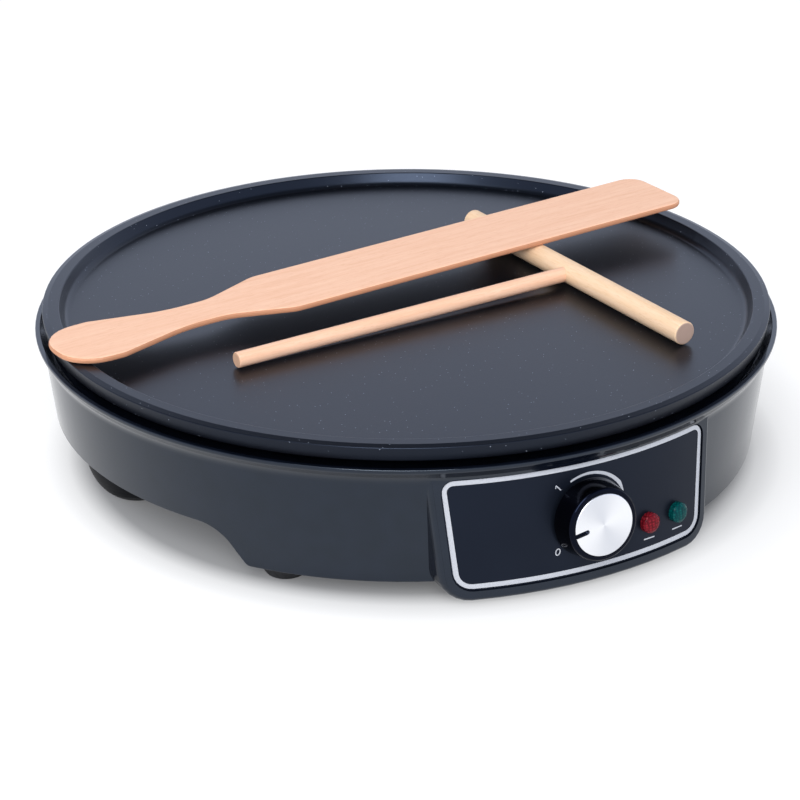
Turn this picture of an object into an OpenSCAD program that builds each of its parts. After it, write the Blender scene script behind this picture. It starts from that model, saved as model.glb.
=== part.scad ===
// Electric crepe maker: a round griddle plate in a drum-shaped housing with a
// control box at the front, and its two wooden tools lying on the plate.
// Millimetres, +Z up, the control box faces -Y, the feet stand on z = 0.

/* [Griddle plate] */
// Outside diameter of the plate
plate_d = 300.4; // [296:0.2:302]
// Height of the plate's rim above the table
plate_top = 66.3; // [65:0.1:68]
// Depth of the cooking surface below the rim
dish_depth = 5; // [3.5:0.1:5.5]
// Width of the rim along the radius
rim_w = 7; // [5:0.1:8]
// Width of the shoulder that the rim falls to at its outer edge
shoulder_w = 2.4; // [1.5:0.1:3]
// Thickness of the casting under the cooking surface
plate_t = 4; // [3:0.5:4.5]

/* [Housing] */
// Outside diameter over the rolled lip
lip_d = 306.8; // [305:0.2:308]
// Height of the lip
lip_top = 58.3; // [57:0.1:59]
// Outside diameter of the wall just under the lip
wall_top_d = 300.8; // [300:0.2:301.6]
// Outside diameter of the wall at its lowest edge
wall_low_d = 290.6; // [288:0.2:294]
// Thickness of the moulded walls
wall_t = 2.4; // [2:0.1:3]
// Height of the wall's lowest edge, at the front and the back
skirt_z = 7.7; // [6:0.1:10]
// Height of the arched edge at the two sides, where the hands go
arch_z = 23.2; // [21:0.1:23.5]
// Length of each arch along its top edge
arch_w = 165.6; // [150:0.2:170]
// Slope of the arch ends
arch_slope = 62; // [50:1:75]

/* [Control box] */
// Width of the box at the lip
box_w = 123; // [120:0.5:126]
// Width of the box at its bottom edge
box_low_w = 115; // [112:0.5:120]
// Height of the box's bottom edge above the table
box_z = 3.3; // [3:0.1:6]
// Rounding of the box's outer edge, along its bowed front
edge_r = 2.6; // [1:0.1:4]
// Radius of the box's bowed front, across the label
bow_r = 165; // [155:1:180]
// Angle by which the front leans back at its top
lean = 6.05; // [4:0.05:8]
// How far the frame stands in front of the label
frame_proud = 0.8; // [0.6:0.1:1.6]
// Width of the printed outline
outline_w = 1.8; // [1.5:0.1:3]

/* [Knob and lamps] */
// Diameter of the knob where it meets the label
knob_d = 31.2; // [28:0.2:32]
// Height of the knob over the label
knob_h = 11.3; // [9:0.1:14]
// Diameter of the metal cap in the knob's face
cap_d = 24.4; // [22:0.2:26]
// Direction of the pointer, from 3 o'clock against the clock
pointer_angle = 190; // [0:1:360]
// Diameter of the indicator lenses
lens_d = 8; // [6:0.2:9]

/* [Feet] */
// Radius of the two side legs where they leave the base
side_leg_r = 21; // [15:0.5:22]
// Radius of the four corner legs where they leave the base
corner_leg_r = 12; // [10:0.5:14]
// Height of the base cover's underside above the table
base_z = 22; // [20:0.5:22]

/* [Wooden tools] */
// Length of the spatula
spatula_l = 299; // [280:1:300]
// Width of the spatula's blade
spatula_w = 38.6; // [35:0.2:40]
// Thickness of the spatula
spatula_t = 2.6; // [2:0.1:4]
// Length of the spreader's cross bar
bar_l = 152; // [140:1:160]
// Diameter of the spreader's cross bar
bar_d = 9.7; // [8:0.1:12]
// Length of the spreader's handle
stick_l = 161; // [150:1:170]
// Diameter of the spreader's handle
stick_d = 6.4; // [5:0.1:8]

/* [Hidden] */
$fn = 96;

// Places. The drum's axis stands axis_y behind the origin, so that the origin is
// the middle of the whole footprint, knob included.
axis_y = 5;
plate_r = plate_d / 2;
cook_z = plate_top - dish_depth;
under_z = cook_z - plate_t;
lip_r = lip_d / 2;
lip_edge = 2;
flare_z = 52.8;
ledge_z = 52.4;
ledge_r = 118.3;
ledge_drop = 6.4;

// Bottom of the housing
base_t = 2.2;
base_top = base_z + base_t;
base_r = 142.4;
gap = 0.3;

// Screws that hold the base to the housing, and the plate to the base
base_screw_r = 134;
base_screw_angles = [30, 68, 112, 150];
plate_screw_r = 72;

// Front of the control box: the label's middle, on the drum's axis at x = 0
panel_y = 151.08;
panel_z = 30.1;
pocket_y = 122;
face_r = bow_r + frame_proud;
box_top = 56;
box_corner = 11.5;
label_t = 1;
panel_wall = 2.4;
outline_top = 50.7;
outline_low = 9.5;
outline_half = 55.4;
outline_low_half = 52;
label_edge = 1.6;
label_gap = 0.1;
top_corner_less = 2.5;
lamp_x = [27, 41.3];
lamp_y = -9.4;

// Heating parts under the plate
element_r = 98;
tube_r = 3.3;
tube_z = 54.6;
element_gap = 10;
bend_r = 8;
rib_w = 12;
clip_screw_y = 12;
pin_end = 33;
dish_floor = 38;
dish_t = 0.6;

// Bush for the mains lead, and the flat boss on the back wall that it sits on
gland_y = 145;
gland_z = 33;
gland_face = 149.4;
gland_boss_r = 10.5;
sleeve_r = 6;
lead_r = 3.6;

// Moulded colours
black_gloss = "#24262b";
black_matt = "#1d1e20";
steel = "#b9bcc0";
brass = "#c9a64b";
ceramic = "#e8e2d4";

// ---- helpers ---------------------------------------------------------------

function unit(v) = v / norm(v);

// Arc that rounds the corner p between its neighbours a and b
function corner(a, p, b, r, n) =
    let (
        u = unit(a - p),
        w = unit(b - p),
        half = acos(u * w) / 2,
        c = p + unit(u + w) * r / sin(half),
        s = p + u * r / tan(half) - c,
        e = p + w * r / tan(half) - c,
        start = atan2(s.y, s.x),
        turn = (atan2(e.y, e.x) - start + 540) % 360 - 180
    )
    [for (i = [0:n]) c + r * [cos(start + turn * i / n), sin(start + turn * i / n)]];

// Outline through points [x, y, corner radius]
function rounded(pts, n = 6) =
    let (k = len(pts))
    [for (i = [0:k - 1])
        let (
            p = pts[i],
            a = pts[(i + k - 1) % k],
            b = pts[(i + 1) % k]
        )
        each (p.z > 0
            ? corner([a.x, a.y], [p.x, p.y], [b.x, b.y], p.z, n)
            : [[p.x, p.y]])];

module revolve(pts, n = 6) rotate_extrude() polygon(rounded(pts, n));

module on_axis() translate([0, axis_y, 0]) children();

// Around the drum's axis at radius r; the angle starts at the front, -Y
module at_angle(a, r) rotate([0, 0, a - 90]) translate([r, 0, 0]) rotate([0, 0, 90]) children();

module both_sides() for (m = [0, 1]) mirror([m, 0, 0]) children();

// The screws and bosses that repeat round the drum's axis
module at_plate_posts() for (a = [45:90:315]) at_angle(a, plate_screw_r) children();

module at_base_posts() for (s = [-1, 1], a = base_screw_angles) at_angle(s * a, base_screw_r) children();

// x to the right, y up the label, z straight out of it
module on_panel() translate([0, -panel_y, panel_z]) rotate([90 - lean, 0, 0]) children();

// A place on the bowed label, square to its surface
module on_label(x, y) translate([0, y, -bow_r]) rotate([0, asin(x / bow_r), 0])
    translate([0, 0, bow_r]) children();

module bowed(r) on_panel() translate([0, 0, -bow_r]) rotate([90, 0, 0])
    cylinder(r = r, h = 140, center = true, $fn = 180);

// y of the leaning, bowed surface of radius r at the place x, z
function front_y(x, z, r) =
    let (
        out = sqrt(r * r - x * x) - bow_r,
        up = (z - panel_z - out * sin(lean)) / cos(lean)
    )
    up * sin(lean) - out * cos(lean) - panel_y;

// Front-view outline pushed back from y = -front to y = -back
module front_view(pts, back, front = 170) translate([0, -back, 0]) rotate([90, 0, 0])
    linear_extrude(front - back) polygon(rounded(pts));

// The printed outline, grown by g; everything on the panel follows it
function panel_shape(g, r) =
    let (half = outline_half + g, low_half = outline_low_half + g, top_r = r - top_corner_less)
    [
        [-half, outline_top + g, top_r], [half, outline_top + g, top_r],
        [low_half, outline_low - g, r], [-low_half, outline_low - g, r]
    ];

// The control box from the front, drawn in by g, with extra points along its bottom edge
function box_shape(g, top, extra = 0) =
    let (half = box_w / 2 - g, low_half = box_low_w / 2 - g, flat = box_low_w / 2 - box_corner)
    [
        [half, top, 0], [-half, top, 0], [-low_half, box_z + g, box_corner - g],
        for (i = [1:1:extra]) [flat * (2 * i / (extra + 1) - 1), box_z + g, 0],
        [low_half, box_z + g, box_corner - g]
    ];

// Solid through a row of rings, all with the same number of points. A ring whose
// second half mirrors its first may be waisted; its ends are closed by cross strips.
module skin(rings, mirrored = false) {
    n = len(rings[0]);
    last = (len(rings) - 1) * n;
    near = mirrored
        ? [for (i = [0:n / 2 - 2]) each [[i, i + 1, n - 2 - i], [i, n - 2 - i, n - 1 - i]]]
        : [[for (i = [0:n - 1]) i]];
    far = [for (face = near) [for (i = [len(face) - 1:-1:0]) last + face[i]]];
    sides = [for (a = [0:n:last - n], i = [0:n - 1])
        let (m = (i + 1) % n, b = a + n)
        each [[a + i, b + i, b + m], [a + i, b + m, a + m]]];
    polyhedron(points = [for (ring = rings) each ring], faces = concat(near, sides, far));
}

function wall_r(z) = (wall_low_d + (wall_top_d - wall_low_d) * (z - skirt_z) / (flare_z - skirt_z)) / 2;

// Pan head with a cross recess below, shank upwards from z = 0
module screw(head_r, head_h, r, l) {
    recess_l = head_r * 1.1;
    recess_w = head_r * 0.28;
    difference() {
        revolve([
            [0, -head_h, 0], [head_r, -head_h, head_h * 0.6], [head_r, 0, 0],
            [r, 0, 0], [r, l, 0.5], [0, l, 0]
        ], 4);
        for (a = [0, 90]) rotate([0, 0, a]) translate([-recess_l / 2, -recess_w / 2, -head_h - 1])
            cube([recess_l, recess_w, 1 + head_h / 2]);
    }
}

// ---- plate and heating -----------------------------------------------------

module at_clips() for (a = [90:120:330]) at_angle(a, element_r) children();

module at_clip_screws() at_clips() for (s = [-1, 1]) translate([0, clip_screw_y * s, 0]) children();

module griddle_plate() {
    side_z = plate_top - 6.3;
    rib_h = under_z - tube_z + 0.5;
    color("#3b3e45") on_axis() difference() {
        union() {
            revolve([
                [0, under_z, 0], [140, under_z, 2], [142.5, side_z, 1], [plate_r - 0.9, side_z, 0.6],
                [plate_r, plate_top - 0.6, 0.4], [plate_r - shoulder_w, plate_top, 0.8],
                [plate_r - rim_w, plate_top, 0.6], [plate_r - rim_w - 2.4, cook_z, 2.8], [0, cook_z, 0]
            ]);
            translate([0, 0, tube_z]) difference() {
                cylinder(r = element_r + rib_w / 2, h = rib_h);
                translate([0, 0, -1]) cylinder(r = element_r - rib_w / 2, h = rib_h + 2);
            }
            at_plate_posts() translate([0, 0, dish_floor + dish_t])
                cylinder(r1 = 5.5, r2 = 6.5, h = under_z - dish_floor);
            at_clip_screws() translate([0, 0, tube_z]) cylinder(r = 3.5, h = rib_h);
        }
        rotate_extrude() translate([element_r, tube_z]) circle(tube_r + 0.05);
        at_plate_posts() translate([0, 0, 30]) cylinder(r = 2.05, h = 24);
        at_clip_screws() translate([0, 0, 50]) cylinder(r = 1.3, h = 8.5);
    }
}

// Ring whose two ends bend down through the dish
module heating_element() color(steel) on_axis() {
    rotate([0, 0, element_gap - 90]) rotate_extrude(angle = 360 - 2 * element_gap)
        translate([element_r, tube_z]) circle(tube_r);
    both_sides() rotate([0, 0, element_gap - 90]) translate([element_r, 0, tube_z]) {
        translate([0, 0, -bend_r]) rotate([180, -90, 0]) rotate_extrude(angle = 90)
            translate([bend_r, 0]) circle(tube_r);
        translate([0, -bend_r, pin_end - tube_z]) cylinder(r = tube_r, h = tube_z - bend_r - pin_end);
    }
}

module at_pins() both_sides() rotate([0, 0, element_gap - 90])
    translate([element_r, -bend_r, 0]) children();

module element_insulators() color(ceramic) on_axis() at_pins() difference() {
    translate([0, 0, dish_floor - 2]) {
        cylinder(r = 5.4, h = 8);
        cylinder(r = 7, h = 2 - gap);
    }
    translate([0, 0, dish_floor - 3]) cylinder(r = tube_r + 0.05, h = 12);
}

module element_terminals() color(brass) on_axis() at_pins() difference() {
    translate([-3.15, -0.4, pin_end - 8]) cube([6.3, 0.8, 8]);
    translate([0, 1, pin_end - 5.5]) rotate([90, 0, 0]) cylinder(r = 0.9, h = 2);
}

// Straps that press the element into its groove
module element_clips() color(steel) on_axis() {
    difference() {
        at_clips() translate([0, 0, tube_z]) {
            translate([-4, -15, -1]) cube([8, 30, 1]);
            rotate([0, 90, 0]) cylinder(r = tube_r + 1.1, h = 8, center = true);
        }
        at_clips() translate([0, 0, tube_z]) {
            rotate([0, 90, 0]) cylinder(r = tube_r + 0.05, h = 10, center = true);
            translate([-5, -20, 0]) cube([10, 40, 10]);
        }
        at_clip_screws() translate([0, 0, tube_z - 2]) cylinder(r = 1.3, h = 4);
    }
    at_clip_screws() translate([0, 0, tube_z - 1]) screw(2.4, 1.4, 1.25, 4.5);
}

module thermal_fuse() color("#d8cfae") on_axis() translate([0, 60, under_z - 3]) rotate([0, 90, 0]) {
    cylinder(r = 2.2, h = 16, center = true);
    cylinder(r = 0.6, h = 34, center = true);
}

module fuse_clip() color(steel) on_axis() translate([0, 60, under_z - 3]) difference() {
    union() {
        translate([-4, -4, 0]) cube([8, 8, 3]);
        rotate([0, 90, 0]) cylinder(r = 3, h = 8, center = true);
    }
    rotate([0, 90, 0]) cylinder(r = 2.25, h = 10, center = true);
}

// Pressed steel dish that turns the heat back up to the plate
module heat_dish() color("#8f949b") on_axis() {
    flange_z = ledge_z + 0.05;
    flange_r = ledge_r + 5.7;
    difference() {
        revolve([
            [0, dish_floor, 0], [108, dish_floor, 5], [ledge_r - 1.6, flange_z, 1.5],
            [flange_r, flange_z, 0], [flange_r, flange_z + dish_t, 0],
            [ledge_r - 2.2, flange_z + dish_t, 1.5], [107.4, dish_floor + dish_t, 5],
            [0, dish_floor + dish_t, 0]
        ], 4);
        at_plate_posts() translate([0, 0, 30]) cylinder(r = 2.4, h = 20);
        at_pins() translate([0, 0, 30]) cylinder(r = 5.7, h = 20);
    }
}

module plate_screws() color(steel) on_axis() at_plate_posts() translate([0, 0, base_z])
    screw(4, 2.4, 2, 30);

// ---- housing ---------------------------------------------------------------

// Drafted wall with the rolled lip, the funnel and the inner ledge
module drum() revolve([
    [wall_low_d / 2, skirt_z, 0.6], [wall_top_d / 2, flare_z, 8], [lip_r, lip_top - 1.4, 2],
    [lip_r, lip_top, 0.4], [lip_r - lip_edge, lip_top, 0.4], [147, ledge_z, 3], [ledge_r, ledge_z, 0.5],
    [ledge_r, ledge_z - ledge_drop, 0.5], [ledge_r + wall_t, ledge_z - ledge_drop, 0.5],
    [ledge_r + wall_t, ledge_z - wall_t, 1], [wall_r(ledge_z - wall_t) - wall_t, ledge_z - wall_t, 2],
    [wall_low_d / 2 - wall_t, skirt_z, 0.6]
]);

// What the funnel leaves free, with its side inside the drum's wall
module funnel_space() {
    bottom = ledge_z - 0.5;
    translate([0, 0, bottom]) cylinder(r1 = 148, r2 = lip_r - lip_edge / 2, h = lip_top - bottom);
}

// Side view of both arches, cut straight through the drum
module arches() {
    run = (arch_z - skirt_z) / tan(arch_slope);
    half = arch_w / 2;
    side = [
        [half, arch_z, 13], [half + run, skirt_z, 3], [half + run + 16, skirt_z, 0],
        [half + run + 16, -5, 0]
    ];
    other = [for (i = [len(side) - 1:-1:0]) [-side[i].x, side[i].y, side[i].z]];
    rotate([90, 0, 90]) linear_extrude(400, center = true) polygon(rounded(concat(side, other), 8));
}

function box_ring(g) = rounded(box_shape(g, box_top, 9));

// A prism from behind, rounded along the bowed front by rings from 90 degrees to last_turn
module box_body() {
    last_turn = 20;
    last_g = edge_r * (1 - sin(last_turn));
    intersection() {
        skin([
            [for (p = box_ring(0)) [p.x, -pocket_y, p.y]],
            for (t = [90, 70, 50, 35, last_turn])
                let (g = edge_r * (1 - sin(t)), back = edge_r * (1 - cos(t)))
                [for (p = box_ring(g)) [p.x, front_y(p.x, p.y, face_r) + back, p.y]],
            [for (p = box_ring(last_g)) [p.x, -175, p.y]]
        ]);
        bowed(face_r);
    }
}

// Inside of the control box, open to the drum above the base
module box_cavity() {
    intersection() {
        front_view(box_shape(wall_t, ledge_z - wall_t), pocket_y + wall_t);
        bowed(bow_r - label_t - panel_wall);
    }
    way_w = box_low_w - 12;
    translate([-way_w / 2, -140, base_top + 1]) cube([way_w, 34, ledge_z - wall_t - base_top - 1]);
}

// Screw post with a web to the wall
module base_post(a) at_angle(a, base_screw_r) translate([0, 0, base_top + gap]) {
    post_h = ledge_z - wall_t - base_top;
    cylinder(r = 4.2, h = post_h);
    translate([-1, -14.5, 0]) cube([2, 12.5, post_h]);
}

module at_bracket_screws() on_panel() for (s = [-1, 1]) translate([18 * s, 8, 0]) children();

// Holes for the thermostat's bush and the lamps; the label clears the bush's nut too
module panel_holes(extra = 0) on_panel() {
    cylinder(r = 4.7 + extra, h = 20, center = true);
    for (x = lamp_x) on_label(x, lamp_y) cylinder(r = 3.75, h = 20, center = true);
}

module housing() color(black_gloss) on_axis() difference() {
    union() {
        difference() {
            drum();
            arches();
        }
        difference() {
            box_body();
            funnel_space();
        }
        intersection() {
            for (s = [-1, 1], a = base_screw_angles) base_post(s * a);
            cylinder(r1 = wall_r(0) - 1, r2 = wall_r(60) - 1, h = 60);
        }
        translate([0, 0, gland_z]) rotate([-90, 0, 0]) difference() {
            cylinder(r = gland_boss_r, h = gland_face);
            cylinder(r = gland_boss_r + 1, h = gland_y + 1.5);
        }
    }
    box_cavity();
    difference() {
        front_view(panel_shape(label_edge + label_gap, 8), pocket_y + 10);
        bowed(bow_r - label_t - 0.05);
    }
    panel_holes();
    at_base_posts() translate([0, 0, base_z]) cylinder(r = 1.55, h = 20);
    translate([0, 130, gland_z]) rotate([-90, 0, 0]) cylinder(r = sleeve_r + 0.05, h = 40);
    at_bracket_screws() translate([0, 0, -20]) cylinder(r = 1.3, h = 17.5);
}

// Two fields of slots under the heating parts
module vent_slots() {
    slot_w = 2.8;
    for (s = [-1, 1], i = [-4:4]) {
        slot_l = i % 2 == 0 ? 24 : 30;
        translate([30 * s - slot_l / 2, 8 * i + 4 - slot_w / 2, base_z - 1]) cube([slot_l, slot_w, 4]);
    }
}

module base_cover() color(black_matt) on_axis() difference() {
    union() {
        revolve([
            [0, base_z, 0], [base_r, base_z, 1.2], [base_r, base_top + 0.2, 0.5],
            [base_r - 2, base_top + 0.2, 0.4], [base_r - 2.4, base_top, 0], [0, base_top, 0]
        ]);
        at_plate_posts() translate([0, 0, base_top - 0.5])
            cylinder(r1 = 6.5, r2 = 5.5, h = dish_floor - base_top + 0.5);
    }
    translate([-box_w / 2 - 1, -pocket_y - 40 + gap, base_z - 2]) cube([box_w + 2, 40, 10]);
    at_plate_posts() translate([0, 0, base_z - 1]) cylinder(r = 2.2, h = 20);
    at_base_posts() translate([0, 0, base_z - 1]) cylinder(r = 1.9, h = 5);
    vent_slots();
}

module base_screws() color(steel) on_axis() at_base_posts() translate([0, 0, base_z])
    screw(3.2, 2, 1.5, 14);

// Bowl-shaped leg: r_top at the base, curving in to r_tip at the table
function leg_r(z, r_top, r_tip) = r_tip + (r_top - r_tip) * sqrt(1 - pow(1 - z / base_z, 2));

module leg(r_top, r_tip, z0, z1, n = 8) rotate_extrude() polygon([
    [0, z0],
    for (i = [0:n]) let (z = z0 + (z1 - z0) * i / n) [leg_r(z, r_top, r_tip), z],
    [0, z1]
]);

foot_h = 5;
side_tip_r = 4.6;
corner_tip_r = 6.4;

module at_side_feet() for (s = [-1, 1]) at_angle(90 * s, 121.6) children();

module at_corner_feet() for (s = [-1, 1], a = [47.5, 132.5]) at_angle(s * a, 130.2) children();

// Leg with a hole in its end for the rubber tip's plug
module drilled_leg(r_top, r_tip) difference() {
    leg(r_top, r_tip, foot_h, base_z);
    translate([0, 0, foot_h - 1]) cylinder(r = 3, h = 5);
}

// Rubber tip with its plug
module foot(r_top, r_tip) {
    leg(r_top, r_tip, 0, foot_h);
    translate([0, 0, foot_h]) cylinder(r = 2.95, h = 3.8);
}

module side_legs() color(black_matt) on_axis() at_side_feet() drilled_leg(side_leg_r, side_tip_r);

module corner_legs() color(black_matt) on_axis() at_corner_feet() drilled_leg(corner_leg_r, corner_tip_r);

module rubber_feet() color("#111214") on_axis() {
    at_side_feet() foot(side_leg_r, side_tip_r);
    at_corner_feet() foot(corner_leg_r, corner_tip_r);
}

// ---- control panel ---------------------------------------------------------

module label_plate() color("#22242a") on_axis() difference() {
    intersection() {
        front_view(panel_shape(label_edge, 8), pocket_y + 10);
        bowed(bow_r);
    }
    bowed(bow_r - label_t);
    panel_holes(3.9);
}

module label_outline() color("#cfced6") on_axis() difference() {
    intersection() {
        front_view(panel_shape(outline_w / 2, 7), pocket_y + 10);
        bowed(bow_r + 0.15);
    }
    bowed(bow_r);
    front_view(panel_shape(-outline_w / 2, 5), pocket_y);
}

module lens(x) on_panel() on_label(x, lamp_y) {
    r = lens_d / 2;
    revolve([
        [0, -4.5, 0], [3.6, -4.5, 0], [3.6, 0.1, 0], [r, 0.1, 0], [r, 2.4, 0.8],
        [2.6, 3.4, 1.5], [0, 3.7, 0]
    ]);
}

module power_lens() color("#b3202e") on_axis() lens(lamp_x[0]);

module ready_lens() color("#17765a") on_axis() lens(lamp_x[1]);

module lamp_bodies() color("#d9d4c8") on_axis() on_panel() for (x = lamp_x) on_label(x, lamp_y) {
    translate([0, 0, -15.6]) cylinder(r = 3.4, h = 11);
    for (s = [-1, 1]) translate([0, 1.5 * s, -19.6]) cylinder(r = 0.5, h = 4);
}

module thermostat_body() color(ceramic) on_axis() on_panel() difference() {
    union() {
        translate([0, 0, -18]) cylinder(r = 12.5, h = 9);
        translate([-16, -6, -16]) cube([32, 12, 5]);
    }
    translate([0, 0, -19]) cylinder(r = 3.06, h = 20);
}

module thermostat_bush() color(brass) on_axis() on_panel() difference() {
    union() {
        translate([0, 0, -9]) cylinder(r = 7, h = 2.6);
        translate([0, 0, -7]) cylinder(r = 4.6, h = 8.8);
    }
    translate([0, 0, -10]) cylinder(r = 3.06, h = 14);
}

module thermostat_nut() color(steel) on_axis() on_panel() translate([0, 0, -label_t - 0.05]) difference() {
    cylinder(r = 7.8, h = 2, $fn = 6);
    translate([0, 0, -1]) cylinder(r = 4.65, h = 4);
}

module thermostat_bracket() color(steel) on_axis() on_panel() translate([0, 0, -6.4]) difference() {
    translate([-22, -11, 0]) cube([44, 24, 1.2]);
    translate([0, 0, -1]) cylinder(r = 4.65, h = 4);
    for (s = [-1, 1]) translate([18 * s, 8, -1]) cylinder(r = 1.5, h = 4);
}

module bracket_screws() color(steel) on_axis() at_bracket_screws() translate([0, 0, -6.4])
    screw(2.6, 1.5, 1.25, 3.8);

module thermostat_terminals() color(brass) on_axis() on_panel()
    for (s = [-1, 1]) translate([13.4 * s - 0.4, -3.15, -24]) cube([0.8, 6.3, 8]);

module knob_shaft() color(steel) on_axis() on_panel() difference() {
    translate([0, 0, -17.5]) cylinder(r = 3, h = 26);
    translate([1.5, -5, 1.9]) cube([5, 10, 10]);
}

module knob() color(black_gloss) on_axis() on_panel() {
    r = knob_d / 2;
    face = cap_d / 2 + 0.1;
    difference() {
        revolve([
            [0, 7, 0], [r - 2.9, 7, 1], [r - 1.9, 0.9, 0], [r, 0.9, 0.3], [r - 0.3, 2.6, 0],
            [r - 1.3, knob_h - 0.6, 1], [face, knob_h - 0.4, 0.2], [face, knob_h - 1.1, 0],
            [0, knob_h - 1.1, 0]
        ]);
        translate([0, 0, 6]) cylinder(r = 3.02, h = 2.7);
    }
    difference() {
        translate([0, 0, 2.2]) cylinder(r = 5.4, h = 5);
        difference() {
            translate([0, 0, 1]) cylinder(r = 3.02, h = 7.7);
            translate([1.52, -5, 0]) cube([5, 10, 10]);
        }
    }
}

module knob_cap() color("#d5d7da") on_axis() on_panel() difference() {
    groove_r = 0.95;
    seat = knob_h - 1.05;
    revolve([[0, seat, 0], [cap_d / 2, seat, 0], [cap_d / 2, knob_h, 0.35], [0, knob_h, 0]]);
    rotate([0, 0, pointer_angle]) translate([cap_d / 2 - 4.8, 0, knob_h - 2]) {
        cylinder(r = groove_r, h = 4);
        translate([0, -groove_r, 0]) cube([10, 2 * groove_r, 4]);
    }
}

// ---- wiring ----------------------------------------------------------------

module terminal_block() color(ceramic) on_axis() translate([-14, 96, base_top]) difference() {
    cube([28, 14, 9]);
    for (x = [5, 14, 23]) translate([x, 7, 4]) cylinder(r = 2, h = 6);
}

// Direction of a route at its point i, halfway round each bend
function heading(pts, i) =
    let (
        before = i > 0 ? unit(pts[i] - pts[i - 1]) : [0, 0, 0],
        after = i < len(pts) - 1 ? unit(pts[i + 1] - pts[i]) : [0, 0, 0]
    )
    unit(before + after);

// Round wire of eight sides along a route that is nowhere upright
module wire(pts, r = 1.1, n = 8) skin([for (i = [0:len(pts) - 1])
    let (
        side = unit(cross(heading(pts, i), [0, 0, 1])),
        up = cross(side, heading(pts, i))
    )
    [for (a = [0:360 / n:359]) pts[i] + r * (cos(a) * side + sin(a) * up)]]);

// Wires from the terminal block, round the plate posts, to the thermostat and the element
module inner_wires() color("#8c3b32") on_axis() {
    low = base_top + 2.5;
    pin = [for (m = [-1, 1]) [
        m * (element_r * sin(element_gap) - bend_r * cos(element_gap)),
        -element_r * cos(element_gap) - bend_r * sin(element_gap)
    ]];
    tab = [[13.4, -120, 27.6], [13.4, -126.9, 27.6]];
    wire([[9, 95.9, low], [9, 86, low], [88, 40, low], [88, -60, low], [42, -108, low], tab[0], tab[1]]);
    wire([
        [-9, 95.9, low], [-9, 86, low], [-88, 40, low], [-88, -60, low], [-40, -98, low],
        [pin[0].x - 3.3, pin[0].y, low]
    ]);
    wire([
        for (p = [tab[1], tab[0]]) [-p.x, p.y, p.z],
        [-4, -112, low], [pin[1].x - 3.3, pin[1].y, low]
    ]);
}

// Bush in the back wall that the mains lead would pass through
module on_gland() on_axis() translate([0, gland_y, gland_z]) rotate([-90, 0, 0]) children();

module cord_gland() color(black_matt) on_gland() difference() {
    seat = gland_face - gland_y;
    union() {
        translate([0, 0, -4]) cylinder(r = sleeve_r, h = 4 + seat);
        revolve([
            [0, seat, 0], [9, seat, 0], [9, seat + 1.6, 0.6], [7.2, seat + 3.2, 1.2], [0, seat + 3.2, 0]
        ]);
    }
    translate([0, 0, -6]) cylinder(r = lead_r, h = 20);
}

module cord_gland_nut() color(black_matt) on_gland() translate([0, 0, -3.8]) difference() {
    cylinder(r = 9, h = 3, $fn = 6);
    translate([0, 0, -1]) cylinder(r = sleeve_r + 0.02, h = 6);
}

// ---- wooden tools ----------------------------------------------------------

tool_turn = 5.6;
bar_x = 70;
bar_y = -15.8;
bar_near = 77.6;
bar_z = cook_z + gap + bar_d / 2;
stick_z = cook_z + gap + stick_d / 2;
socket = 3;
stick_tilt = asin((bar_z - stick_z) / stick_l);

module on_bar() translate([bar_x, bar_y, bar_z]) rotate([0, 0, tool_turn]) children();

module along_stick() on_bar() rotate([0, -90 - stick_tilt, 0]) children();

module dowel(r, l, edge) revolve([[0, 0, 0], [r, 0, edge], [r, l, edge], [0, l, 0]], 4);

module spreader_bar() color("#e6cba6") on_axis() difference() {
    on_bar() translate([0, -bar_near, 0]) rotate([-90, 0, 0]) dowel(bar_d / 2, bar_l, 0.8);
    along_stick() translate([0, 0, -socket]) cylinder(r = stick_d / 2 + 0.03, h = 20);
}

module spreader_handle() color("#e6cba6") on_axis() along_stick() translate([0, 0, -socket + 0.05])
    dowel(stick_d / 2, stick_l + socket, 0.5);

// Half outline of the spatula: [along, half width, corner radius], tip to blade
blade_half = spatula_w / 2;
spatula_start = -152;
spatula_half = [
    [spatula_start + spatula_l, blade_half, 8], [-53, blade_half, 14], [-79, 9.4, 26], [-99, 9.4, 60],
    [-130, 18, 10], [spatula_start, 17.4, 15.5]
];

// Outline of the spatula, drawn in by g on every side
function spatula_outline(g) =
    let (
        last = len(spatula_half) - 1,
        side = [for (i = [0:last])
            let (p = spatula_half[i], in = i == 0 ? -g : i == last ? g : 0)
            [p.x + in, p.y - g, p.z]],
        other = [for (i = [len(side) - 1:-1:0]) [side[i].x, -side[i].y, side[i].z]]
    )
    rounded(concat(side, other), 8);

spatula_turn = 6.05;
spatula_y = 17.6;
rest_x = -147.4;
spatula_slope = (bar_z + bar_d / 2 - plate_top) / (67.3 - rest_x);

spatula_edge = 0.9;

// Lofted through its outline at six heights, with both edges rounded
module spatula() color("#eec4a6") on_axis()
    rotate([0, 0, spatula_turn]) translate([rest_x, spatula_y, plate_top + gap])
    rotate([0, -atan(spatula_slope), 0]) translate([-rest_x, 0, 0]) skin([
        for (upper = [false, true], t = upper ? [90, 45, 0] : [0, 45, 90])
            let (g = spatula_edge * (1 - sin(t)), h = spatula_edge * (1 - cos(t)))
            [for (p = spatula_outline(g)) [p.x, p.y, upper ? spatula_t - h : h]]
    ], mirrored = true);

griddle_plate();
heating_element();
element_insulators();
element_terminals();
element_clips();
thermal_fuse();
fuse_clip();
heat_dish();
plate_screws();
housing();
base_cover();
base_screws();
side_legs();
corner_legs();
rubber_feet();
label_plate();
label_outline();
power_lens();
ready_lens();
lamp_bodies();
thermostat_body();
thermostat_bush();
thermostat_nut();
thermostat_bracket();
thermostat_terminals();
bracket_screws();
knob_shaft();
knob();
knob_cap();
terminal_block();
inner_wires();
cord_gland();
cord_gland_nut();
spreader_bar();
spreader_handle();
spatula();
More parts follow.
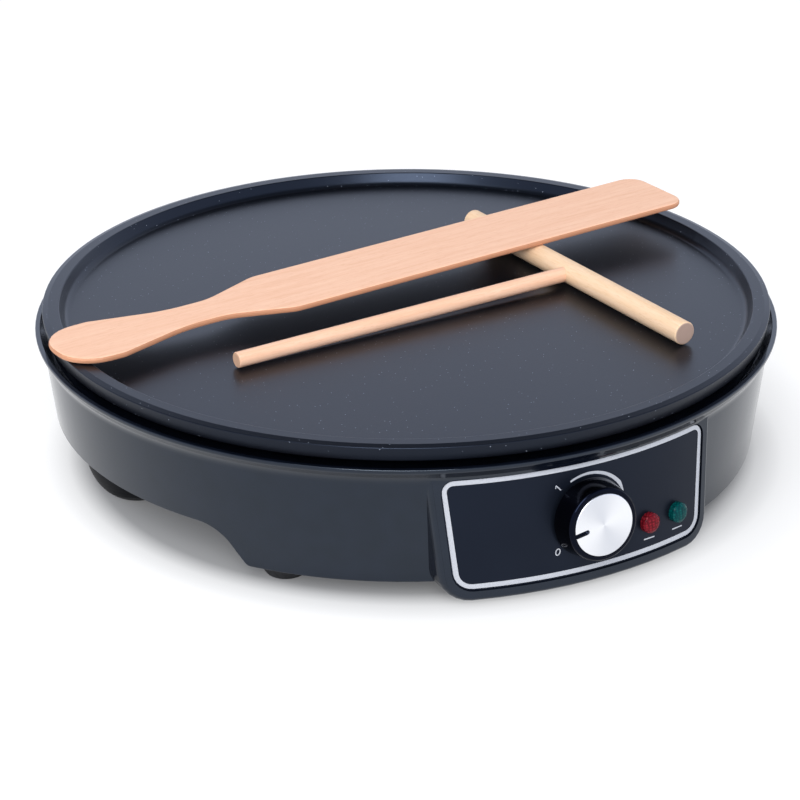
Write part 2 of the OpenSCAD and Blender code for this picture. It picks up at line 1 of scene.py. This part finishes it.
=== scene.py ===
"""Looks of an electric crepe maker: a coated griddle plate in a glossy black drum,
a knob and two lamps at the front, and two wooden tools lying on the plate."""
import math

import bpy
from mathutils import Matrix, Vector


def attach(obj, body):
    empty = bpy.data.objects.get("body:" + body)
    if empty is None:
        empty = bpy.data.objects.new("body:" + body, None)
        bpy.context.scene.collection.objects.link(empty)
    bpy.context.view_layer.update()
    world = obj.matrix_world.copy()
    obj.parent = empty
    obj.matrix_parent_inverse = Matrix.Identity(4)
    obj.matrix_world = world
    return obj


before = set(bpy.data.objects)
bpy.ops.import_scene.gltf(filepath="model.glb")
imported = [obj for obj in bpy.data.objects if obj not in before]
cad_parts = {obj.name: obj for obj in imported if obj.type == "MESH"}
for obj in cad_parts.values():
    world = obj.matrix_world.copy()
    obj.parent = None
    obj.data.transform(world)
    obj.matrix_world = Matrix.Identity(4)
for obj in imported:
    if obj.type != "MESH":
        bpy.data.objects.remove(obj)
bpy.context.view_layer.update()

# ---- Camera --------------------------------------------------------------
# A short telephoto lens, a little above the table and to the left of the knob.
# Its place was fitted to the ellipses of the plate's rim and the housing's lip.
LENS_MM = 113.76
SENSOR_MM = 36
CAMERA_AT = Vector((-0.4377, -0.8641, 0.46566))
LOOKING = Vector((0.4060, 0.8117, -0.4198)).normalized()
RIGHT = Vector((0.8933, -0.4494, -0.0050)).normalized()

up = RIGHT.cross(LOOKING).normalized()
camera = bpy.data.objects.new("camera", bpy.data.cameras.new("camera"))
camera.data.lens = LENS_MM
camera.data.sensor_width = SENSOR_MM
camera.data.clip_start = 0.05
camera.data.clip_end = 50
camera.matrix_world = Matrix.Translation(CAMERA_AT) @ Matrix((RIGHT, up, -LOOKING)).transposed().to_4x4()
bpy.context.collection.objects.link(camera)
scene = bpy.context.scene
scene.camera = camera
scene.view_settings.view_transform = "Standard"
scene.view_settings.look = "None"

# ---- Studio --------------------------------------------------------------
# A white table that glows evenly from below, its glow dimmed into a painted shadow
# under and beside the machine, a pale cool surround that is dim overhead, and two soft
# boxes on the camera's side, so that the black gloss shows mostly the pale table.
TABLE_WHITE = "#898989"
TABLE_GLOW = 0.8
SHADE_M = 0.2            # the glow reaches its full strength at this distance
SURROUND_STRENGTH = 1.38
SOFT_BOX_M = 1.2


def linear(hex_colour):
    """sRGB hex to the linear RGBA that Blender's sockets take."""
    parts = [int(hex_colour[i:i + 2], 16) / 255 for i in (1, 3, 5)]
    return (*[c / 12.92 if c <= 0.04045 else ((c + 0.055) / 1.055) ** 2.4 for c in parts], 1)


def add(material, kind, inputs=None, **settings):
    """Adds one node with its settings, and sets or links its inputs."""
    made = material.node_tree.nodes.new(kind)
    for name, value in settings.items():
        setattr(made, name, value)
    for name, value in (inputs or {}).items():
        if isinstance(value, bpy.types.NodeSocket):
            material.node_tree.links.new(value, made.inputs[name])
        else:
            made.inputs[name].default_value = value
    return made


def surface(name):
    """An empty material, with the object's own coordinates in metres."""
    material = bpy.data.materials.new(name)
    material.use_nodes = True
    material.node_tree.nodes.clear()
    return material, add(material, "ShaderNodeTexCoord").outputs["Object"]


def close(material, **inputs):
    """Ends a material in its shader; names use _ for a space."""
    shader = add(material, "ShaderNodeBsdfPrincipled", {k.replace("_", " "): v for k, v in inputs.items()})
    add(material, "ShaderNodeOutputMaterial", {"Surface": shader.outputs["BSDF"]})
    return material


def ramp(material, factor, *stops):
    """Colour ramp through (position, hex colour) stops."""
    made = add(material, "ShaderNodeValToRGB", {"Fac": factor})
    points = made.color_ramp.elements
    while len(points) < len(stops):
        points.new(0.5)
    for point, (position, colour) in zip(points, stops):
        point.position = position
        point.color = linear(colour)
    return made.outputs["Color"]


# Matt laminate: plain white; its glow is dimmed into a painted shadow under the machine and a little way
# round it.
white_table, at = surface("white laminate table")


def shade(middle, *stops):
    """Painted shadow: grey that brightens with the distance from a point of the table, in parts of SHADE_M.
    """
    away = add(white_table, "ShaderNodeVectorMath", {0: at, 1: middle}, operation="DISTANCE")
    part = add(white_table, "ShaderNodeMath", {0: away.outputs["Value"], 1: SHADE_M}, operation="DIVIDE")
    return ramp(white_table, part.outputs["Value"], *stops)


# Painted shadow: the glow is darkest under the machine, and a second shadow, centred a little to its right
# and front, reaches further out there.
painted_shadow_under = shade((0, 0, 0), (0.0, "#303030"), (0.675, "#787878"), (0.725, "#e4e4e4"), (0.78, "#ffffff"))
painted_shadow_beside = shade((0.015, -0.01, 0), (0.6, "#d0d0d0"), (0.65, "#dcdcdc"), (0.72, "#efefef"), (0.84, "#ffffff"))
painted_shadow = add(white_table, "ShaderNodeMix", {"Factor": 1.0, 6: painted_shadow_under, 7: painted_shadow_beside}, data_type="RGBA",
           blend_type="MULTIPLY")
close(white_table, Base_Color=linear(TABLE_WHITE), Roughness=0.7, Specular_IOR_Level=0.0,
      Emission_Color=painted_shadow.outputs[2], Emission_Strength=TABLE_GLOW)
floor = bpy.data.meshes.new("table")
floor.from_pydata([(-6, -6, 0), (6, -6, 0), (6, 6, 0), (-6, 6, 0)], [], [(0, 1, 2, 3)])
floor.materials.append(white_table)
floor = bpy.data.objects.new("table", floor)
bpy.context.collection.objects.link(floor)

world = bpy.data.worlds.new("white surround")
world.use_nodes = True
facing = add(world, "ShaderNodeTexCoord").outputs["Generated"]
height = add(world, "ShaderNodeSeparateXYZ", {"Vector": facing}).outputs["Z"]
sky = ramp(world, height, (0.0, "#dde6fb"), (0.5, "#dde6fb"), (0.75, "#767d8a"), (1.0, "#4b4f57"))
backdrop = world.node_tree.nodes["Background"]
world.node_tree.links.new(sky, backdrop.inputs["Color"])
backdrop.inputs["Strength"].default_value = SURROUND_STRENGTH
scene.world = world


def soft_box(name, at, aim, size, watts):
    """A square lamp of the given size that faces a point."""
    lamp = bpy.data.lights.new(name, "AREA")
    lamp.size = size
    lamp.energy = watts
    holder = bpy.data.objects.new(name, lamp)
    holder.matrix_world = (
        Matrix.Translation(at) @ (Vector(at) - Vector(aim)).to_track_quat("Z", "Y").to_matrix().to_4x4()
    )
    bpy.context.collection.objects.link(holder)


soft_box("soft_box_above", (-0.8, -0.75, 1.9), (0, 0, 0), SOFT_BOX_M, 11)
soft_box("soft_box_by_camera", (-1.03, -1.8, 1.45), (0, 0, 0), SOFT_BOX_M, 48)

# ---- Griddle plate -------------------------------------------------------
# A cast aluminium disc with a raised rim, sprayed with a black non-stick coat
# that holds fine metallic flecks; four screws hold it down from underneath.
COAT = "#07090e"
COAT_WARM = "#0b0b0e"
FLECK = "#8f96a3"
FLECK_CELL_MM = 2.6      # one fleck in each cell of this size
FLECK_MM = 0.16          # radius; real ones are finer, drawn so that they show
SPRAY_GRAIN_MM = 0.5
CLOUD_MM = 60

MM = 0.001


def clad(material, *nodes):
    """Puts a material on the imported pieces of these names."""
    for name in nodes:
        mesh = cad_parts[name].data
        mesh.materials.clear()
        mesh.materials.append(material)


def noise(material, at, size_mm, detail=3, **inputs):
    """Cloudy pattern whose blotches are about size_mm wide."""
    return add(material, "ShaderNodeTexNoise", {
        "Vector": at, "Scale": 1 / (size_mm * MM), "Detail": detail, **inputs})


def relief(material, height, depth_mm, strength=1.0):
    """Bump of the given depth."""
    return add(material, "ShaderNodeBump", {
        "Height": height, "Distance": depth_mm * MM, "Strength": strength}).outputs["Normal"]


# Sprayed non-stick coat: satin, slightly cloudy, with sparse bright specks.
coat, at = surface("sprayed non-stick coat on cast aluminium")
cloud = noise(coat, at, CLOUD_MM, 2).outputs["Fac"]
coat_colour = ramp(coat, cloud, (0.35, COAT), (0.7, COAT_WARM))
cells = add(coat, "ShaderNodeTexVoronoi", {"Vector": at, "Scale": 1 / (FLECK_CELL_MM * MM)})
fleck = add(coat, "ShaderNodeMath", {0: cells.outputs["Distance"], 1: FLECK_MM / FLECK_CELL_MM},
            operation="LESS_THAN").outputs["Value"]
specked = add(coat, "ShaderNodeMix", {"Factor": fleck, 6: coat_colour, 7: linear(FLECK)}, data_type="RGBA")
spray = noise(coat, at, SPRAY_GRAIN_MM, 2).outputs["Fac"]
satin = add(coat, "ShaderNodeMapRange", {"Value": spray, "To Min": 0.26, "To Max": 0.33})
close(coat, Base_Color=specked.outputs[2], Roughness=satin.outputs["Result"], Specular_IOR_Level=0.36,
      Specular_Tint=linear("#b9cef4"), Normal=relief(coat, spray, 0.03, 0.5))
clad(coat, "griddle_plate")

# ---- Housing -------------------------------------------------------------
# One glossy black injection moulding: drum wall, rolled lip, funnel, arches for
# the hands and the control box. Eight screws come up into its posts from below.
ABS_BLACK = "#090d15"
ABS_WORN = "#0e121c"
FLOW_MM = 45             # waves of the melt as it filled the mould
HAZE_MM = 9

# Polished ABS: mirror-like at the rim, with the faint waves that moulding leaves.
gloss_abs, at = surface("polished black ABS moulding")
flow = noise(gloss_abs, at, FLOW_MM, 1).outputs["Fac"]
haze = noise(gloss_abs, at, HAZE_MM, 4).outputs["Fac"]
sheen = add(gloss_abs, "ShaderNodeMapRange", {"Value": haze, "To Min": 0.09, "To Max": 0.14})
close(gloss_abs, Base_Color=ramp(gloss_abs, haze, (0.3, ABS_BLACK), (0.8, ABS_WORN)),
      Roughness=sheen.outputs["Result"], IOR=1.5, Specular_Tint=linear("#dcecff"),
      Normal=relief(gloss_abs, flow, 0.25, 0.25))
clad(gloss_abs, "housing")

# ---- Label and its printing ----------------------------------------------
# A thin satin sheet glued into the recess of the control box, bowed round its
# front, with a silver outline, an arc that swells round the knob, and numerals.
AXIS_MM = 5              # the drum's axis stands this far behind the origin
LEAN = math.radians(6.05)
PANEL_AT = Vector((0, AXIS_MM - 151.08, 30.1)) * MM
BOW_MM = 165
PRINT_FOOT_MM = 0.01     # the ink clears the sheet by this much
PRINT_MM = 0.08
SHEET_INK = "#0a0d13"
SILVER = "#b3b5b9"
FLAKE_MM = 0.4
PRESSED_MM = 0.35
TONE_MM = 30

panel = Matrix.Translation(PANEL_AT) @ Matrix.Rotation(math.pi / 2 - LEAN, 4, "X")


def on_label(x, y, height):
    """A point of the bowed label: x across, y up it and height over it, in mm."""
    turn = math.asin(x / BOW_MM)
    reach = BOW_MM + height
    return panel @ (Vector((reach * math.sin(turn), y, reach * math.cos(turn) - BOW_MM)) * MM)


def printed(name, strips):
    """Ink lying on the label; each strip is (left edge, right edge), two lists of (x, y)."""
    points, faces = [], []
    for left, right in strips:
        first = len(points)
        for a, b in zip(left, right):
            points += [on_label(*a, PRINT_FOOT_MM), on_label(*b, PRINT_FOOT_MM)]
            points += [on_label(*b, PRINT_MM), on_label(*a, PRINT_MM)]
        for i in range(len(left) - 1):
            p = first + 4 * i
            faces += [(p + k, p + (k + 1) % 4, p + 4 + (k + 1) % 4, p + 4 + k) for k in range(4)]
        last = first + 4 * (len(left) - 1)
        faces += [(first + 3, first + 2, first + 1, first), (last, last + 1, last + 2, last + 3)]
    mesh = bpy.data.meshes.new(name)
    mesh.from_pydata([p[:] for p in points], [], faces)
    mesh.update()
    piece = bpy.data.objects.new(name, mesh)
    bpy.context.collection.objects.link(piece)
    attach(piece, "root")
    return piece


def polar(angle, r, middle=(0, 0)):
    """Point at an angle in degrees, against the clock from 3 o'clock."""
    a = math.radians(angle)
    return middle[0] + r * math.cos(a), middle[1] + r * math.sin(a)


def heat_arc():
    """Arc from a hair line at low heat to a broad pointed end at full heat."""
    inner, outer = [], []
    start, end, foot_r, steps = 116, 17, 16.4, 48
    hair, swell, point, tip = 0.75, 0.95, 5, 0.03
    for i in range(steps + 1):
        t = i / steps
        wide = (hair + swell * t) * min(1, (1 - t) * point + tip)
        angle = start + (end - start) * t
        inner.append(polar(angle, foot_r))
        outer.append(polar(angle, foot_r + wide))
    return inner, outer


def numeral_zero(middle, turn, wide=0.85, tall=1.25, ink=0.4):
    """Oval ring, leaning with the dial."""
    rings = []
    for grow in (-ink / 2, ink / 2):
        ring = []
        for i in range(33):
            x, y = polar(i * 360 / 32, 1)
            x, y = x * (wide + grow), y * (tall + grow)
            d, r = math.degrees(math.atan2(y, x)) + turn, math.hypot(x, y)
            ring.append(polar(d, r, middle))
        rings.append(ring)
    return rings


def stroke(a, b, ink):
    """Straight stroke of a pen between two points."""
    dx, dy = b[0] - a[0], b[1] - a[1]
    reach = math.hypot(dx, dy)
    ox, oy = -dy / reach * ink / 2, dx / reach * ink / 2
    left = [(a[0] + ox, a[1] + oy), (b[0] + ox, b[1] + oy)]
    right = [(a[0] - ox, a[1] - oy), (b[0] - ox, b[1] - oy)]
    return left, right


def numeral_one(middle, turn, tall=2.9, ink=0.4):
    """Upright with a short flag."""
    foot = polar(turn - 90, tall / 2, middle)
    head = polar(turn + 90, tall / 2, middle)
    flag = polar(turn + 218, 1.2, head)
    return [stroke(foot, head, ink), stroke(flag, head, ink)]


# Screen-printed silver ink: fine metal flakes in lacquer, a soft even grey.
silver_ink, at = surface("screen-printed silver ink")
flakes = noise(silver_ink, at, FLAKE_MM, 2).outputs["Fac"]
close(silver_ink, Base_Color=ramp(silver_ink, flakes, (0.3, "#a4a6ab"), (0.7, SILVER)),
      Metallic=0.15, Roughness=0.42, Normal=relief(silver_ink, flakes, 0.02, 0.4))

# Satin film: near black with a blue cast and a very fine pressed grain.
film, at = surface("satin printed polycarbonate film")
pressed = noise(film, at, PRESSED_MM, 2).outputs["Fac"]
tone = noise(film, at, TONE_MM, 1).outputs["Fac"]
close(film, Base_Color=ramp(film, tone, (0.3, SHEET_INK), (0.8, "#0d1118")), Roughness=0.36,
      Specular_IOR_Level=0.23, Specular_Tint=linear("#c0d3ff"), Normal=relief(film, pressed, 0.02, 0.35))
clad(film, "label_plate")
clad(silver_ink, "label_outline")

for mark in (
    printed("print_heat_arc", [heat_arc()]),
    printed("print_zero", [numeral_zero(polar(-138.8, 17.9), -20)]),
    printed("print_one", numeral_one(polar(132, 18.4), 42)),
    printed("print_lamp_ticks", [stroke((x - 2.6, -16.2), (x + 2.6, -16.2), 0.5) for x in (27.4, 41.8)]),
):
    mark.data.materials.append(silver_ink)

# ---- Knob ----------------------------------------------------------------
# A glossy black phenolic knob with a flat spun aluminium cap let into its face;
# the slot in the cap is the pointer. It turns on the thermostat's spindle.
KNOB_BLACK = "#010102"
RING_MM = 0.22           # step between the rings that the tool leaves
SECTOR_PAINTED_HIGHLIGHT = "#f0f1f3"
SECTOR_PAINTED_SHADE = "#d8dadf"
SECTORS = 2.0            # painted highlight sectors round the cap
SECTOR_TURN = 0.9
PEEL_MM = 1.6

# Moulded phenolic: deep black, hard gloss with slight orange peel.
phenolic, at = surface("moulded black phenolic")
peel = noise(phenolic, at, PEEL_MM, 2).outputs["Fac"]
close(phenolic, Base_Color=linear(KNOB_BLACK), Roughness=0.13, IOR=1.55,
      Specular_IOR_Level=0.14, Specular_Tint=linear("#a9bfff"), Normal=relief(phenolic, peel, 0.03, 0.4))
clad(phenolic, "knob")

# Spun aluminium: fine tool rings round the axis in its relief, and painted highlights in bright sectors
# round the cap, where such rings would throw the light.
spun, at = surface("spun aluminium")
local = add(spun, "ShaderNodeMapping", {
    "Vector": at, "Location": PANEL_AT, "Rotation": (math.pi / 2 - LEAN, 0, 0)}, vector_type="TEXTURE")
split = add(spun, "ShaderNodeSeparateXYZ", {"Vector": local.outputs["Vector"]})
flat = add(spun, "ShaderNodeCombineXYZ", {"X": split.outputs["X"], "Y": split.outputs["Y"]})
reach = add(spun, "ShaderNodeVectorMath", {0: flat.outputs["Vector"]}, operation="LENGTH")
rings = add(spun, "ShaderNodeTexNoise", {
    "W": reach.outputs["Value"], "Scale": 1 / (RING_MM * MM), "Detail": 2},
    noise_dimensions="1D").outputs["Fac"]
# Painted highlight: the cap's colour is lighter in two opposite sectors and darker between them.
around = add(spun, "ShaderNodeMath", {0: split.outputs["Y"], 1: split.outputs["X"]}, operation="ARCTAN2")
sector = add(spun, "ShaderNodeMath", {0: around.outputs["Value"], 1: SECTORS, 2: SECTOR_TURN},
             operation="MULTIPLY_ADD")
wave = add(spun, "ShaderNodeMath", {0: sector.outputs["Value"]}, operation="SINE")
bright = add(spun, "ShaderNodeMapRange", {"Value": wave.outputs["Value"], "From Min": -1, "From Max": 1})
painted_sectors = ramp(spun, bright.outputs["Result"], (0.0, SECTOR_PAINTED_SHADE), (0.55, "#e7e8eb"), (1.0, SECTOR_PAINTED_HIGHLIGHT))
close(spun, Base_Color=painted_sectors, Metallic=1.0, Roughness=0.3, Normal=relief(spun, rings, 0.02, 0.5))
clad(spun, "knob_cap")

# ---- Indicator lamps -----------------------------------------------------
# Two snap-in lenses of clear tinted plastic with a waffle of small facets inside.
# The bodies behind them are glazed steatite.
FACET_MM = 1.1


def tinted(name, deep, bright, edge):
    """Tinted polycarbonate under a hard gloss: a deep colour, darker along the lines between the waffle
    facets, with a painted highlight lighter at each facet's middle.
    """
    lens, at = surface(name)
    local = add(lens, "ShaderNodeMapping", {
        "Vector": at, "Location": PANEL_AT, "Rotation": (math.pi / 2 - LEAN, 0, math.radians(45))},
        vector_type="TEXTURE")
    facets = add(lens, "ShaderNodeTexVoronoi", {
        "Vector": local.outputs["Vector"], "Scale": 1 / (FACET_MM * MM), "Randomness": 0.25},
        distance="CHEBYCHEV").outputs["Distance"]
    # Painted highlight: each facet takes the bright colour at its middle; the darker lines between the
    # facets are the waffle itself.
    colour = ramp(lens, facets, (0.05, bright), (0.5, deep), (0.75, edge))
    return close(lens, Base_Color=colour, Roughness=0.14, IOR=1.58, Specular_IOR_Level=0.08,
                 Normal=relief(lens, facets, 0.15, 0.4))


clad(tinted("tinted red polycarbonate", "#4a0811", "#861d28", "#32050b"), "power_lens")
clad(tinted("tinted green polycarbonate", "#002e31", "#00504c", "#001f22"), "ready_lens")

# ---- Legs and feet -------------------------------------------------------
# Bowl-shaped legs moulded on the base, in matt black, each with a soft rubber tip
# pressed into it.
SPARK_GRAIN_MM = 0.7
DUST_MM = 2.5

# Spark-eroded PP: the mould's fine pits leave an even matt grain.
matt_pp, at = surface("spark-textured black polypropylene")
pits = noise(matt_pp, at, SPARK_GRAIN_MM, 3).outputs["Fac"]
close(matt_pp, Base_Color=ramp(matt_pp, pits, (0.3, "#07080b"), (0.75, "#0e1014")), Roughness=0.55,
      Specular_IOR_Level=0.12, Normal=relief(matt_pp, pits, 0.06, 0.6))
clad(matt_pp, "side_legs", "corner_legs", "base_cover", "cord_gland", "cord_gland_nut")

# Pressed rubber: dull and slightly dusty.
rubber, at = surface("pressed black rubber")
dust = noise(rubber, at, DUST_MM, 4).outputs["Fac"]
close(rubber, Base_Color=ramp(rubber, dust, (0.4, "#0e0e10"), (0.8, "#2a2a2d")), Roughness=0.8,
      Normal=relief(rubber, dust, 0.04, 0.4))
clad(rubber, "rubber_feet")

# ---- Screws, brackets and straps -----------------------------------------
# Pressed and threaded steel parts out of one plating bath, out of sight in use.
BATH_MM = 5

# Bright zinc plate: bluish steel with cloudy patches from the bath.
zinc, at = surface("bright zinc plated steel")
bath = noise(zinc, at, BATH_MM, 4).outputs["Fac"]
dull = add(zinc, "ShaderNodeMapRange", {"Value": bath, "To Min": 0.25, "To Max": 0.45})
close(zinc, Base_Color=ramp(zinc, bath, (0.3, "#a9aeb6"), (0.7, "#c6c9ce")), Metallic=1.0,
      Roughness=dull.outputs["Result"], Normal=relief(zinc, bath, 0.02, 0.3))
clad(zinc, "base_screws", "plate_screws", "element_clips", "fuse_clip", "bracket_screws",
     "thermostat_nut", "thermostat_bracket", "knob_shaft")

# ---- Heat dish -----------------------------------------------------------
# A pressed sheet of aluminised steel under the element, dulled by heat. It throws
# the element's heat up at the plate.
SPANGLE_MM = 7

# Hot-dipped aluminised steel: soft silver spangle.
dipped, at = surface("hot-dipped aluminised steel")
spangle = add(dipped, "ShaderNodeTexVoronoi", {
    "Vector": at, "Scale": 1 / (SPANGLE_MM * MM)}).outputs["Color"]
grey = add(dipped, "ShaderNodeRGBToBW", {"Color": spangle}).outputs["Val"]
close(dipped, Base_Color=ramp(dipped, grey, (0.2, "#9da1a6"), (0.8, "#b7babe")), Metallic=1.0,
      Roughness=0.42)
clad(dipped, "heat_dish")

# ---- Heating element -----------------------------------------------------
# A stainless tube packed with magnesia round a coil, bent to a ring and clamped
# into the groove under the plate.
TINGE_MM = 25

# Drawn stainless, straw and brown from its own heat.
sheath, at = surface("heat-tinted drawn stainless")
tinge = noise(sheath, at, TINGE_MM, 3).outputs["Fac"]
close(sheath, Base_Color=ramp(sheath, tinge, (0.35, "#8d8a84"), (0.6, "#9a8466"), (0.8, "#7d7a7c")),
      Metallic=1.0, Roughness=0.38)
clad(sheath, "heating_element")

# ---- Ceramic parts -------------------------------------------------------
# Insulators, lamp bodies, thermostat and terminal block, dry-pressed, glazed and
# fired.
PINHOLE_MM = 1.2

# Glazed steatite: cream, with tiny pinholes.
steatite, at = surface("glazed steatite")
holes = noise(steatite, at, PINHOLE_MM, 3).outputs["Fac"]
close(steatite, Base_Color=ramp(steatite, holes, (0.3, "#d9d2c2"), (0.6, "#ebe5d8")), Roughness=0.3,
      Normal=relief(steatite, holes, 0.05, 0.4))
clad(steatite, "element_insulators", "lamp_bodies", "thermostat_body", "terminal_block")

# ---- Terminals, fuse and wires -------------------------------------------
# Stamped brass tabs, a thermal fuse in a glass-fibre sleeve, and wires in
# silicone sleeves.
TARNISH_MM = 3
BRAID_MM = 6
WAX_MM = 4

# Stamped brass: yellow with brown tarnish.
brass, at = surface("stamped brass")
tarnish = noise(brass, at, TARNISH_MM, 4).outputs["Fac"]
close(brass, Base_Color=ramp(brass, tarnish, (0.35, "#c9a75a"), (0.75, "#a5834a")), Metallic=1.0,
      Roughness=0.35)
clad(brass, "element_terminals", "thermostat_terminals", "thermostat_bush")

# Braided glass fibre: a fine cream weave.
fibre, at = surface("braided glass-fibre sleeve")
braid = add(fibre, "ShaderNodeTexWave", {
    "Vector": at, "Scale": 1 / (BRAID_MM * MM), "Distortion": 1.5}).outputs["Fac"]
close(fibre, Base_Color=ramp(fibre, braid, (0.2, "#c4b891"), (0.8, "#e4dcc0")), Roughness=0.75,
      Normal=relief(fibre, braid, 0.1, 0.6))
clad(fibre, "thermal_fuse")

# Extruded silicone: brick red, waxy.
silicone, at = surface("extruded red silicone sleeve")
wax = noise(silicone, at, WAX_MM, 2).outputs["Fac"]
close(silicone, Base_Color=ramp(silicone, wax, (0.3, "#7d2b22"), (0.8, "#93382d")), Roughness=0.5)
clad(silicone, "inner_wires")

# ---- Spreader ------------------------------------------------------------
# A cross bar and a stick, both turned birch dowels, the stick glued into a hole
# in the bar. They are left bare.
TURN = math.radians(5.6)
STICK_AT = Vector((70, AXIS_MM - 15.8, 66)) * MM
DOWEL_GRAIN_MM = 1.6
DOWEL_PORE_MM = 0.45     # finer in real birch, drawn so that the flecks show


def wood(name, place, turn, grain_mm, pore_mm, light, mid, dark, end_grain_and_shade, across, facing_from, facing_to):
    """Bare wood whose grain runs along its own x axis. Long soft bands are the year
    rings and short dark flecks the pores. A face takes a second colour as its
    normal's part along the axis across goes from its first limit to its second: end grain on the stick's
    ends, painted shade as well on the bar's ends, and painted shade alone on the spatula's sides."""
    timber, at = surface(name)
    along = add(timber, "ShaderNodeMapping", {"Vector": at, "Location": place, "Rotation": turn},
                vector_type="TEXTURE").outputs["Vector"]
    stretched = add(timber, "ShaderNodeMapping", {"Vector": along, "Scale": (0.06, 1, 1)}).outputs["Vector"]
    bands = noise(timber, stretched, grain_mm, 4, Roughness=0.6, Distortion=0.4).outputs["Fac"]
    fine = add(timber, "ShaderNodeMapping", {"Vector": along, "Scale": (0.09, 1, 1)}).outputs["Vector"]
    pores = noise(timber, fine, pore_mm, 2, Roughness=0.7).outputs["Fac"]
    colour = ramp(timber, bands, (0.1, dark), (0.45, mid), (0.75, light))
    flecks = add(timber, "ShaderNodeMapRange", {
        "Value": pores, "From Min": 0.55, "From Max": 0.68, "To Min": 0.0, "To Max": 0.6}).outputs["Result"]
    inked = add(timber, "ShaderNodeMix", {"Factor": flecks, 6: colour, 7: linear(dark)}, data_type="RGBA")
    outward = add(timber, "ShaderNodeTexCoord").outputs["Normal"]
    part = add(timber, "ShaderNodeVectorMath", {0: outward, 1: across}, operation="DOT_PRODUCT")
    size = add(timber, "ShaderNodeMath", {0: part.outputs["Value"]}, operation="ABSOLUTE")
    # The faces picked here take the second colour: end grain on the stick's ends, end grain with painted
    # shade on the bar's ends, painted shade on the spatula's sides.
    end_grain_and_shade_mask = add(timber, "ShaderNodeMapRange", {
        "Value": size.outputs["Value"], "From Min": facing_from, "From Max": facing_to})
    colour = add(timber, "ShaderNodeMix", {
        "Factor": end_grain_and_shade_mask.outputs["Result"], 6: inked.outputs[2], 7: linear(end_grain_and_shade)}, data_type="RGBA")
    return close(timber, Base_Color=colour.outputs[2], Roughness=0.62, Specular_IOR_Level=0.35,
                 Normal=relief(timber, pores, 0.06, 0.5))


# Turned birch: pale and close-grained; the bar's ends are grey, partly for their end grain and partly as
# painted shade.
across_bar = (-math.sin(TURN), math.cos(TURN), 0)
along_stick = (math.cos(TURN), math.sin(TURN), 0)
clad(wood("turned birch, across the plate", STICK_AT, (0, 0, TURN + math.pi / 2), DOWEL_GRAIN_MM,
          DOWEL_PORE_MM, "#f0cfae", "#ebc79f", "#deb48b", "#a98f80", across_bar, 0.7, 0.95),
     "spreader_bar")
clad(wood("turned birch, along the stick", STICK_AT, (0, 0, TURN), DOWEL_GRAIN_MM,
          DOWEL_PORE_MM, "#f0c5a6", "#eaba99", "#dcab87", "#d3a888", along_stick, 0.7, 0.95),
     "spreader_handle")

# ---- Spatula -------------------------------------------------------------
# A long flat blade with a narrow neck, sawn and sanded from one beech board. It
# lies on the rim at one end and across the spreader's bar at the other.
BEECH_LIGHT = "#f5c8a8"
BEECH_MID = "#f0be9c"
BEECH_DARK = "#e3ac88"
# Painted shade for the blade's side faces, which are made darker than its top.
BEECH_SIDE_PAINTED_SHADE = "#c08663"
BOARD_TURN = math.radians(6.05)
BOARD_AT = Vector((0, AXIS_MM, 66)) * MM
BOARD_GRAIN_MM = 2.4
BOARD_PORE_MM = 0.5      # finer in real beech, drawn so that the flecks show

# Sanded beech: pinkish, with long bands and short dark pores; its side faces are browner, a painted shade.
clad(wood("sanded beech board", BOARD_AT, (0, 0, BOARD_TURN), BOARD_GRAIN_MM, BOARD_PORE_MM,
          BEECH_LIGHT, BEECH_MID, BEECH_DARK, BEECH_SIDE_PAINTED_SHADE, (0, 0, 1), 0.9, 0.4), "spatula")
